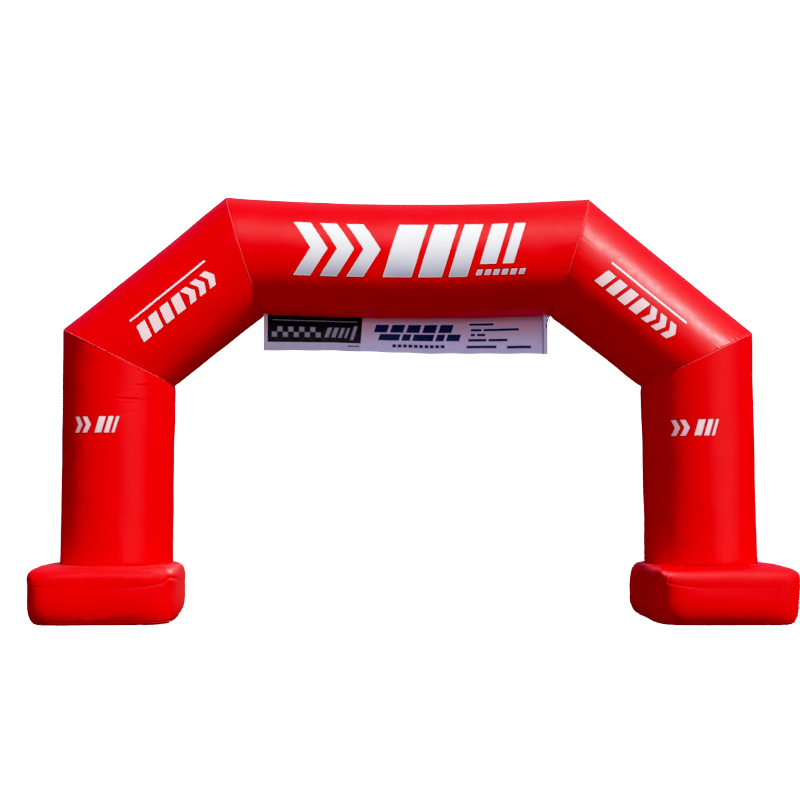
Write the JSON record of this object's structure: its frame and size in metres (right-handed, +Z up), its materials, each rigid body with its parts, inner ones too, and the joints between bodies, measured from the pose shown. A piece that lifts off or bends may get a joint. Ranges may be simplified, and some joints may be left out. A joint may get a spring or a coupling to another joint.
{
  "type": "inflatable event arch",
  "caption": "Free-standing inflatable event arch: mitred round air tubes on box feet, with printed banner cloths hung under its level beam.",
  "frame": {"origin": "on the ground, in the middle of the arch's box", "axes": "+X along the arch from its left leg to its right leg as seen from its front, +Y from its front to its back, +Z up"},
  "size_m": [8.9629, 2.16, 5.0784],
  "materials": {
    "coated_red": "glossy red coated fabric, smooth and taut",
    "banner_print": "matt banner cloth with a dark printed panel and a pale edge",
    "banner_pale": "matt pale lilac-grey banner cloth with navy print",
    "tie_white": "matt white braided cord",
    "tie_navy": "matt dark blue braided cord"
  },
  "bodies": {
    "root": {"foot_left": "coated_red", "foot_right": "coated_red", "leg_left": "coated_red", "leg_right": "coated_red", "shoulder_left": "coated_red", "shoulder_right": "coated_red", "beam": "coated_red", "banner_left": "banner_print", "banner_right": "banner_pale", "tie_knot": "tie_white", "tie_tail_left": "tie_navy", "tie_tail_right": "tie_white"}
  },
  "joints": []
}
